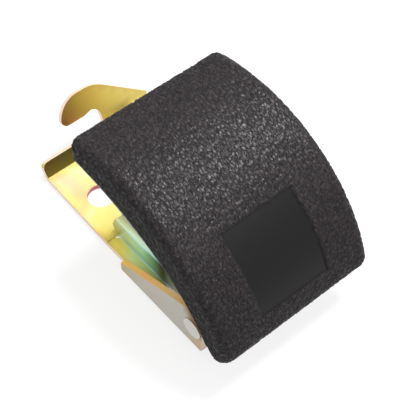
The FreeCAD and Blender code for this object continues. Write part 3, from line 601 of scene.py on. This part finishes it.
class BuildCover(bpy.types.Operator):
    """Make the grained cover: skin, lining and lip in one closed mesh."""
    bl_idname = "hood_handle.cover"
    bl_label = "Cover"

    def execute(self, context):
        cover = settings().cover
        form = CoverForm(0.0, cover.corner / MM, cover.end_corner / MM)
        lining = CoverForm(cover.wall / MM, cover.corner / MM, cover.end_corner / MM)
        u, floor, wall = lines_across(form)
        v, first, last = lines_along(form)
        places, normals, edge = form.skin(u, v)
        shape = places.shape[:2]

        flat_u = np.abs(u)[:, None]
        inside = (1 - smooth(flat_u, floor, floor + wall))
        inside = inside * (smooth(v, first - PATCH_WALL, first)
                           * (1 - smooth(v, last, last + PATCH_WALL)))[None, :]
        rim = smooth(edge, 0.35, 1.1)
        # pebbles longer along the cover than across it, within coarser folds
        pebble = cover.pebble / MM
        drawn = places.reshape(-1, 3) * np.array([1.0, 0.64, 0.85])
        crest = smooth(pebbles(drawn, pebble, seed=7).reshape(shape), 0.0, 0.3)
        fold = smooth(pebbles(drawn, pebble * 2.3, seed=11).reshape(shape), 0.0, 0.22)
        relief = cover.relief / MM
        grain = ((crest - 1) + 0.25 * (fold - 1)) * relief * (1 - inside) * rim
        # the recess is deepest at its far side, where the photograph shows a dark line
        far = smooth(u, floor - 1.6 * wall, floor)[:, None] * inside
        roll = 0.55
        near = np.clip(edge, 0, roll)
        rolled = -(roll - np.sqrt(np.maximum(roll ** 2 - (roll - near) ** 2, 0)))
        raised = grain + rolled - PATCH_DEPTH * inside - GROOVE_DEPTH * far
        moved = places + normals * raised[:, :, None]

        inner, _, _ = lining.skin(u[::2], v[::2])
        inner_shape = inner.shape[:2]
        outer_count = shape[0] * shape[1]
        points = np.concatenate([moved.reshape(-1, 3), inner.reshape(-1, 3)]) * MM
        skin = grid_faces(*shape, 0, True)
        back = grid_faces(*inner_shape, outer_count, False)
        lip = rim_faces(border(*shape, 0), border(*inner_shape, outer_count))
        made = mesh_object("cover_skin", points, [skin, back, lip])

        # painted shade: the crest value is low in the grain's creases, lower towards the open
        # edges, near nothing in the patch's far groove, and cut by up to 45% on the side walls, so
        # these all render darker
        grain_and_painted_shade = (0.3 + 0.7 * crest * (0.8 + 0.2 * fold)) * (0.3 + 0.7 * rim) * (1 - 0.9 * far)
        grain_and_painted_shade = np.maximum(grain_and_painted_shade, 0.85 * inside * (1 - far)) * (1 - 0.45 * smooth(flat_u, 1.7, 2.2))
        # the painted highlight along the lip fades away over the hinged half
        front = smooth(-v, -form.length * 0.75, -form.length * 0.3)[None, :]
        lip_painted_highlight = (1 - smooth(edge, 0.6, 1.0)) * front * smooth(flat_u, 1.9, 2.1)
        inner_count = inner_shape[0] * inner_shape[1]
        for name, outer, behind in (("crest", grain_and_painted_shade, 0.3), ("plain", inside, 0.0),
                                    ("lip", lip_painted_highlight, 0.0)):
            values = np.concatenate([outer.ravel(), np.full(inner_count, behind)])
            point_values(made.data, name, values)
        made.data.materials.append(finish_of("cover_black"))
        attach(made, "handle")
        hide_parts("handle_cover")
        return {"FINISHED"}


# Pressed and turned parts: merged copies with rounded edges

def merged_copy(name, node, width, slices=()):
    """A copy of a solid's mesh with doubles merged, flats joined, faces sliced and edges rounded.

    A slice row is (axis, low, high, step) in mm: the faces are divided by planes
    across that axis, so that a tint can change along them.
    """
    made = bpy.data.objects.new(name, frame["nodes"][node].data.copy())
    bpy.context.scene.collection.objects.link(made)
    form = bmesh.new()
    form.from_mesh(made.data)
    bmesh.ops.remove_doubles(form, verts=form.verts, dist=0.000002)
    bmesh.ops.dissolve_limit(form, angle_limit=math.radians(0.6), verts=form.verts,
                             edges=form.edges, use_dissolve_boundaries=False)
    for axis, low, high, step in slices:
        across = Vector([1.0 if i == axis else 0.0 for i in range(3)])
        for spot in np.arange(low, high, step):
            parts = form.verts[:] + form.edges[:] + form.faces[:]
            bmesh.ops.bisect_plane(form, geom=parts, dist=0.00001,
                                   plane_co=across * float(spot) * MM, plane_no=across)
    form.to_mesh(made.data)
    form.free()
    made.data.polygons.foreach_set("use_smooth", np.ones(len(made.data.polygons), dtype=bool))
    if width:
        bevel = made.modifiers.new("EdgeRound", "BEVEL")
        bevel.width = width
        bevel.segments = 2
        bevel.limit_method = "ANGLE"
        bevel.angle_limit = math.radians(38)
        bevel.harden_normals = True
    keep = made.modifiers.new("Shading", "WEIGHTED_NORMAL")
    keep.keep_sharp = True
    return made


def read_values(items, name, width, kind=np.float32):
    """A property of a mesh's points, corners or faces, as one array with a row for each."""
    values = np.empty(len(items) * width, dtype=kind)
    items.foreach_get(name, values)
    return values.reshape(-1, width)


def corner_frames(mesh):
    """Of the faces' corners: places in mm, the faces' normals, and 1 where an edge turns."""
    index = read_values(mesh.loops, "vertex_index", 1, np.int32)[:, 0]
    places = read_values(mesh.vertices, "co", 3)[index] / MM
    sizes = read_values(mesh.polygons, "loop_total", 1, np.int32)[:, 0]
    normals = np.repeat(read_values(mesh.polygons, "normal", 3), sizes, axis=0)
    point_normals = read_values(mesh.vertices, "normal", 3)[index]
    turned = ((point_normals * normals).sum(axis=1) < 0.96).astype(float)
    return places, normals, turned


def paint_film(mesh, colour, cut, share):
    """Store at the faces' corners the film's tint, its share over the drift, and the cut's."""
    share = np.broadcast_to(share, len(colour))[:, None]
    values = np.concatenate([colour, share], axis=1).astype(np.float32)
    tint = mesh.attributes.new("film", "FLOAT_COLOR", "CORNER")
    tint.data.foreach_set("color", values.ravel())
    edge = mesh.attributes.new("cut", "FLOAT", "CORNER")
    edge.data.foreach_set("value", cut.astype(np.float32))


def blend_stops(value, stops):
    """Linear colours between (value, sRGB hex) stops, for a whole array."""
    spots = [place for place, _ in stops]
    codes = np.array([linear(code)[:3] for _, code in stops])
    return np.stack([np.interp(value, spots, codes[:, i]) for i in range(3)], axis=1)


def washed(colour, code, share):
    """The colours with a share of an sRGB hex tint over each."""
    share = share[:, None]
    return colour * (1 - share) + np.array(linear(code)[:3]) * share


def dress(made, node):
    """Ride on the solid's body, take its slot and stand for it."""
    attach(made, BODY_OF[node])
    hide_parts(node)
    made.data.materials.clear()
    made.data.materials.append(finish_of(SLOT_OF[node]))


def curved_bar(side, width, low, high, first, last):
    """A bar of rectangular section carried along an arc about the arch's axis, in mm."""
    count = 40
    turn = np.radians(np.linspace(first, last, count))[:, None]
    radius = np.array([low, low, high, high])[None, :]
    left, right = side - width / 2, side + width / 2
    across = np.array([left, right, right, left])[None, :]
    y = ARCH_CENTRE[0] - radius * np.sin(turn)
    z = ARCH_CENTRE[1] + radius * np.cos(turn)
    places = np.stack([across + 0 * turn, y, z], axis=2)
    ring = np.arange(4)
    rows = np.arange(count - 1)[:, None] * 4
    after = (ring + 1) % 4
    walls = np.stack([rows + ring, rows + after, rows + 4 + after, rows + 4 + ring], axis=2)
    caps = np.array([ring[::-1], (count - 1) * 4 + ring])
    return places.reshape(-1, 3), np.concatenate([walls.reshape(-1, 4), caps])


def turned_ring(centre, axis, profile):
    """A closed profile of (radius, height) pairs turned about an axis through a centre, in mm."""
    count = 48
    axis = np.array(axis) / np.linalg.norm(axis)
    side = np.cross(axis, (0.0, 0.31, 0.95))
    side /= np.linalg.norm(side)
    other = np.cross(axis, side)
    turn = np.linspace(0, 2 * math.pi, count, endpoint=False)[:, None, None]
    radius = np.array([r for r, _ in profile])[None, :, None]
    height = np.array([h for _, h in profile])[None, :, None]
    round_about = np.cos(turn) * side + np.sin(turn) * other
    places = np.array(centre) + radius * round_about + height * axis
    rows = np.arange(count)[:, None] * len(profile)
    after = ((np.arange(count) + 1) % count)[:, None] * len(profile)
    spot = np.arange(len(profile))[None, :]
    then = (spot + 1) % len(profile)
    faces = np.stack([rows + spot, after + spot, after + then, rows + then], axis=2)
    return places.reshape(-1, 3), faces.reshape(-1, 4)


class BuildCoverInside(bpy.types.Operator):
    """Make the three ribs and four screw bosses that are moulded under the cover's crown."""
    bl_idname = "hood_handle.cover_inside"
    bl_label = "Cover inside"

    def execute(self, context):
        # radii about the arch's axis, up into the wall
        rib_width, rib_low, rib_high = 1.8, 46.5, 49.3
        parts = [curved_bar(x, rib_width, rib_low, rib_high, -16.0, 62.0)
                 for x in (-19.5, 0.0, 19.5)]
        section = [(2.75, 46.05), (4.1, 46.05), (4.5, 46.45), (4.7, 48.9), (5.3, 49.3),
                   (2.75, 49.3)]
        for angle in (-10.0, 14.0):
            turn = math.radians(angle)
            axis = (0.0, -math.sin(turn), math.cos(turn))
            for x in (-9.0, 9.0):
                parts.append(turned_ring((x, *ARCH_CENTRE), axis, section))
        shift = np.cumsum([0] + [len(points) for points, _ in parts[:-1]])
        points = np.concatenate([points for points, _ in parts]) * MM
        faces = [quads + start for (_, quads), start in zip(parts, shift)]
        made = mesh_object("cover_ribs", points, faces, smooth_shaded=False)
        point_values(made.data, "crest", np.full(len(points), 0.5))
        point_values(made.data, "plain", np.full(len(points), 0.6))
        made.data.materials.append(finish_of("cover_black"))
        bevel = made.modifiers.new("MouldRound", "BEVEL")
        bevel.width = 0.0002
        bevel.segments = 2
        bevel.limit_method = "ANGLE"
        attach(made, "handle")
        return {"FINISHED"}


# Tints of the film by a place in mm: along y for the plates and the lever,
# along z for the flange and the riser, along x for the hook. Some of them also hold painted light,
# noted at each
# the strips' bright yellow from -26 to -19 is a painted highlight over the film
PLATE_FILM_AND_PAINTED_HIGHLIGHT_TINTS = [(-70, "#a898b4"), (-50, "#b2a2c2"), (-40, "#c3cc9e"), (-34, "#cfcf92"),
               (-26, "#ffffa8"), (-19, "#ffee78"), (-15, "#d6cc6c"), (-8, "#c9bb70"),
               (-2, "#c4ae7c"), (4, "#bdab62"), (8, "#b4c08e"), (13, "#bcc6a2"), (16.5, "#aca04a")]
EAR_TINTS = [(-67, "#c08848"), (-64, "#b09878"), (-58, "#a9a8a2"), (-44, "#b4aaa8"),
             (-34, "#aeaaa0"), (-27, "#b39c6c")]
EAR_EDGE_TINTS = [(-66, "#a85a2c"), (-60, "#c08a58"), (-50, "#cfae78"), (-38, "#d0a468"),
                  (-26, "#d6b858")]
# the flange's film tints, darkened as a painted reflection of the dark cover that it faces
FLANGE_FILM_AND_PAINTED_REFLECTION_TINTS = [(2.0, "#75641c"), (4.0, "#54430f"), (7.0, "#4e3a12")]
# the lever walls' film tints with painted light: the near-white lavender from -47 to -43 is a
# painted highlight, the dark green from -39 to -37 a painted reflection of the dark cover
LEVER_FILM_AND_PAINTED_LIGHT_TINTS = [(-60, "#c4bcdc"), (-47, "#ece6ff"), (-43, "#eef0ff"), (-40.8, "#90c0c8"),
               (-39, "#1f4038"), (-37, "#28504a"), (-33.5, "#90d0c8"), (-28, "#baf0e8"),
               (-22, "#c4ecd8"), (-16, "#d4e4b8"), (-12, "#d0d0a0")]
# the top's dark green at -38 is the same painted reflection of the cover
LEVER_TOP_FILM_AND_PAINTED_REFLECTION_TINTS = [(-45, "#a4b8c0"), (-38, "#6f9c88"), (-30, "#d2f0d0"), (-24, "#d8ecc4"),
                   (-14, "#c8c88c")]
RISER_TINTS = [(12, "#cfd8c0"), (24, "#d2cfae"), (40, "#cbbd86")]
HOOK_TINTS = [(-13, "#63401f"), (-10.5, "#86601f"), (-8, "#93732a"), (-4, "#b0963a"),
              (0, "#c8aa46"), (5, "#d8c25c"), (12, "#dccb6c")]
CARRIER_TINTS = [(-75, "#d9c8dc"), (-45, "#dfe0a8"), (-20, "#eedc80"), (10, "#e2d070")]


class BuildBasePlate(bpy.types.Operator):
    """Make the base plate and its film: yellow front with a painted highlight on the strips, green
    strips, grey ears with painted shade by the pin, olive flange darkened as a painted reflection.
    """
    bl_idname = "hood_handle.base_plate"
    bl_label = "Base plate"

    def execute(self, context):
        slices = ((1, -67.0, 20.0, 2.0), (0, -23.0, 24.0, 2.3), (2, 7.0, 19.0, 1.3))
        made = merged_copy("base_plate_plated", "base_plate", settings().steel.edge, slices)
        places, normals, turned = corner_frames(made.data)
        x, y, z = places.T
        share = np.full(len(x), 0.5)
        colour = blend_stops(y, PLATE_FILM_AND_PAINTED_HIGHLIGHT_TINTS)
        outside = (np.abs(normals[:, 0]) > 0.9) & (np.abs(x) > 26.5)
        colour[outside] = blend_stops(y[outside], EAR_TINTS)
        share[outside] = 0.9
        # painted shade: a brown crescent round the pin's head, on the side of the ear's end, where
        # the ear's edge lies in shade
        pin_y, pin_z = -61.5, 13.8
        away = np.hypot(y - pin_y, z - pin_z)
        toward_end = (z - pin_z - (y - pin_y)) / np.maximum(away, 0.1)
        brown = smooth(away, 3.4, 4.0) * smooth(toward_end, 0.2, 0.8) * outside
        colour = washed(colour, "#6e3614", brown)
        rim = (normals[:, 2] > 0.9) & (np.abs(x) > 23.5)
        colour = washed(colour, "#d89a64", 0.45 * turned * rim)
        # painted reflection: the flange faces facing the cover take the darkened tints
        flange = (y > 16.2) & (normals[:, 1] < -0.5)
        colour[flange] = blend_stops(z[flange], FLANGE_FILM_AND_PAINTED_REFLECTION_TINTS)
        share[flange] = 0.92
        hole_x, hole_reach = 15.2, 4.7
        bore = (np.hypot(np.abs(x) - hole_x, y) < hole_reach) & (np.abs(normals[:, 2]) < 0.5)
        colour[bore] = linear("#a83e62")[:3]
        share[bore] = 0.8
        cut = np.zeros(len(x))
        sheet_edge = (np.abs(normals[:, 0]) > 0.9) & (np.abs(np.abs(x) - 24.5) < 0.3)
        cut[sheet_edge | ((y > 16.5) & (normals[:, 2] > 0.7))] = 0.8
        ear_edge = (np.abs(x) > 24.8) & (normals[:, 2] > 0.5)
        colour[ear_edge] = blend_stops(y[ear_edge], EAR_EDGE_TINTS)
        share[ear_edge] = 0.9
        paint_film(made.data, colour, cut, share)
        dress(made, "base_plate")
        return {"FINISHED"}


class BuildLever(bpy.types.Operator):
    """Make the pressed lever: pale green top, and on its walls a lavender painted highlight and a
    dark painted reflection of the cover.
    """
    bl_idname = "hood_handle.lever"
    bl_label = "Lever"

    def execute(self, context):
        slices = ((1, -72.0, -13.0, 1.5), (2, 3.5, 12.0, 2.0))
        made = merged_copy("lever_plated", "lever_channel", settings().steel.edge, slices)
        # the walls' lower edges reach into the base's window, so that no floor shows under them
        spots = read_values(made.data.vertices, "co", 3)
        low = (spots[:, 2] < 0.0029) & (spots[:, 1] > -0.043)
        spots[low, 2] -= 0.002
        made.data.vertices.foreach_set("co", spots.ravel())
        made.data.update()
        places, normals, _ = corner_frames(made.data)
        _, y, z = places.T
        rise = smooth(z, 9.5, 14.0)[:, None]
        colour = blend_stops(y, LEVER_FILM_AND_PAINTED_LIGHT_TINTS) * (1 - rise) + blend_stops(z, RISER_TINTS) * rise
        top = (normals[:, 2] > 0.6) & (z < 14)
        colour[top] = blend_stops(y[top], LEVER_TOP_FILM_AND_PAINTED_REFLECTION_TINTS)
        paint_film(made.data, colour, np.zeros(len(y)), 0.92)
        dress(made, "lever_channel")
        return {"FINISHED"}


class BuildHook(bpy.types.Operator):
    """Make the claw hook: gold by the pivot, olive and brown at the tip, a pale cut edge."""
    bl_idname = "hood_handle.hook"
    bl_label = "Hook"

    def execute(self, context):
        slices = ((0, -12.2, 20.0, 1.9), (2, 6.0, 21.0, 2.3))
        made = merged_copy("hook_plated", "hook", settings().steel.edge, slices)
        places, normals, turned = corner_frames(made.data)
        lean = math.radians(33)
        facing = np.abs(normals[:, 1] * math.cos(lean) - normals[:, 2] * math.sin(lean))
        colour = blend_stops(places[:, 0], HOOK_TINTS)
        colour = washed(colour, "#a8592c", 0.25 * turned * (facing > 0.9))
        paint_film(made.data, colour, np.where(facing < 0.5, 0.9, 0.0), 0.9)
        dress(made, "hook")
        return {"FINISHED"}


class BuildTongueAndCarrier(bpy.types.Operator):
    """Make the release tongue and the arched carrier plate, plated like the lever."""
    bl_idname = "hood_handle.tongue_carrier"
    bl_label = "Tongue and carrier"

    def execute(self, context):
        for node in ("release_tongue", "cover_carrier"):
            made = merged_copy(node + "_plated", node, settings().steel.edge)
            places, normals, _ = corner_frames(made.data)
            cut = np.where(np.abs(normals[:, 0]) > 0.9, 0.6, 0.0)
            paint_film(made.data, blend_stops(places[:, 1], CARRIER_TINTS), cut, 0.62)
            dress(made, node)
        return {"FINISHED"}


class BuildTurnedParts(bpy.types.Operator):
    """Make the pin, spacers, stud, bushes, sleeve, screws, rivets and washers."""
    bl_idname = "hood_handle.turned"
    bl_label = "Turned parts"

    def execute(self, context):
        for node in ("pivot_pin", "pivot_spacers", "hook_stud", "hook_washer", "lever_bushes",
                     "hook_bush", "spring_sleeve", "cover_screws", "screw_washers",
                     "carrier_rivets", "tongue_rivets", "cover_inserts"):
            dress(merged_copy(node + "_turned", node, width=0.0001), node)
        return {"FINISHED"}


class BuildSprings(bpy.types.Operator):
    """Make the two handle springs and the hook's spring from their wire."""
    bl_idname = "hood_handle.springs"
    bl_label = "Springs"

    def execute(self, context):
        for node in ("handle_springs", "hook_spring"):
            dress(merged_copy(node + "_wire", node, width=0.0), node)
        return {"FINISHED"}


# Camera, lamps and floor

def soft_box(name, watts, size, azimuth, height):
    """A square area lamp on a sphere round the target, turned to it."""
    studio = settings().studio
    lamp = bpy.data.lights.new(name, "AREA")
    lamp.energy = watts
    lamp.shape = "SQUARE"
    lamp.size = size
    made = bpy.data.objects.new(name, lamp)
    turn, lift = math.radians(azimuth), math.radians(height)
    away = Vector((math.cos(lift) * math.sin(turn), -math.cos(lift) * math.cos(turn),
                   math.sin(lift)))
    made.location = Vector(studio.target) + away * studio.lamp_distance
    made.rotation_euler = away.to_track_quat("Z", "Y").to_euler()
    bpy.context.scene.collection.objects.link(made)


def seen_directly(material):
    """1 for rays of the camera, of gloss and of glass, so that they find the white studio."""
    path = add_node(material, "ShaderNodeLightPath").outputs
    first = maths(material, "MAXIMUM", path["Is Camera Ray"], path["Is Glossy Ray"])
    return maths(material, "MAXIMUM", first, path["Is Transmission Ray"])


def photo_camera(scene):
    """The camera of the photograph."""
    lens = bpy.data.cameras.new("Camera")
    lens.sensor_width = SENSOR_WIDTH
    lens.lens = FOCAL_PIXELS / PHOTO_WIDTH * SENSOR_WIDTH
    lens.clip_start = 0.01
    camera = bpy.data.objects.new("Camera", lens)
    right = Vector(CAMERA_RIGHT).normalized()
    down = Vector(CAMERA_DOWN).normalized()
    ahead = right.cross(down).normalized()
    offset = Vector(CAMERA_OFFSET) * MM
    place = -(right * offset.x + down * offset.y + ahead * offset.z)
    turn = Matrix((right, -down, -ahead)).transposed().to_4x4()
    camera.matrix_world = Matrix.Translation(place) @ turn
    scene.collection.objects.link(camera)
    scene.camera = camera


def white_world(scene):
    """A world that lights from above and is white wherever it is seen."""
    world = bpy.data.worlds.new("Studio")
    scene.world = world
    world.use_nodes = True
    world.node_tree.nodes.clear()
    white = linear("#ffffff")
    ahead = add_node(world, "ShaderNodeTexCoord").outputs["Generated"]
    up = add_node(world, "ShaderNodeSeparateXYZ", {0: ahead}).outputs[2]
    dome = add_node(world, "ShaderNodeMapRange",
                    {"Value": up, "From Min": -0.2, "To Min": 0.30, "To Max": 0.85}).outputs[0]
    light = add_node(world, "ShaderNodeBackground", {"Color": white, "Strength": dome})
    plain = add_node(world, "ShaderNodeBackground", {"Color": white, "Strength": 1.0})
    both = add_node(world, "ShaderNodeMixShader",
                    {0: seen_directly(world), 1: light.outputs[0], 2: plain.outputs[0]})
    add_node(world, "ShaderNodeOutputWorld", {"Surface": both.outputs[0]})


def white_paper():
    """White paper, matt, that is mostly lit from within where it is seen."""
    paper = new_material("white_paper")
    matt = add_node(paper, "ShaderNodeBsdfDiffuse", {"Color": linear("#f0f0f0")})
    glow = add_node(paper, "ShaderNodeEmission", {"Color": linear("#ffffff"), "Strength": 1.0})
    share = maths(paper, "MULTIPLY", seen_directly(paper), 0.75)
    both = add_node(paper, "ShaderNodeMixShader",
                    {0: share, 1: matt.outputs[0], 2: glow.outputs[0]})
    return close_material(paper, both.outputs[0])


class BuildStudio(bpy.types.Operator):
    """Set the camera of the photograph, the soft boxes, the white world and the pale floor."""
    bl_idname = "hood_handle.studio"
    bl_label = "Studio"

    def execute(self, context):
        scene = context.scene
        scene.view_settings.view_transform = "Standard"
        photo_camera(scene)
        studio = settings().studio
        soft_box("KeyBox", studio.key, size=0.28, azimuth=95, height=66)
        soft_box("FillBox", studio.fill, size=0.4, azimuth=-10, height=50)
        white_world(scene)

        reach = studio.floor_reach
        low = SOLID_BOX[0][2] - 0.0002
        corners = np.array([(-reach, -reach, low), (reach, -reach, low), (reach, reach, low),
                            (-reach, reach, low)])
        floor = mesh_object("Floor", corners, [np.array([[0, 1, 2, 3]])], smooth_shaded=False)
        floor.data.materials.append(white_paper())
        return {"FINISHED"}


BUILDERS = (BuildStudio, BuildCover, BuildCoverInside, BuildBasePlate, BuildLever, BuildHook,
            BuildTongueAndCarrier, BuildTurnedParts, BuildSprings)


class HandleSettings(bpy.types.PropertyGroup):
    """All the settings of the handle."""
    cover: PointerProperty(type=CoverSettings, name="Cover", description="The moulded cover")
    steel: PointerProperty(type=SteelSettings, name="Steel", description="The plated parts")
    studio: PointerProperty(type=StudioSettings, name="Studio",
                            description="Camera, lamps and floor")


class HandlePanel(bpy.types.Panel):
    """Lists the builders and their sizes in the sidebar."""
    bl_idname = "VIEW3D_PT_hood_handle"
    bl_label = "Hood release handle"
    bl_space_type = "VIEW_3D"
    bl_region_type = "UI"
    bl_category = "Handle"

    def draw(self, context):
        for group in (settings().cover, settings().steel, settings().studio):
            box = self.layout.box()
            for name in group.__annotations__:
                box.prop(group, name)
        for builder in BUILDERS:
            self.layout.operator(builder.bl_idname)


CLASSES = (CoverSettings, SteelSettings, StudioSettings, HandleSettings, *BUILDERS, HandlePanel)


def register():
    for item in CLASSES:
        bpy.utils.register_class(item)
    bpy.types.Scene.hood_handle = PointerProperty(type=HandleSettings)


def unregister():
    del bpy.types.Scene.hood_handle
    for item in reversed(CLASSES):
        bpy.utils.unregister_class(item)


def build_handle():
    """Build everything in order."""
    register()
    for builder in BUILDERS:
        group, name = builder.bl_idname.split(".")
        getattr(getattr(bpy.ops, group), name)()


if __name__ == "__main__":
    build_handle()
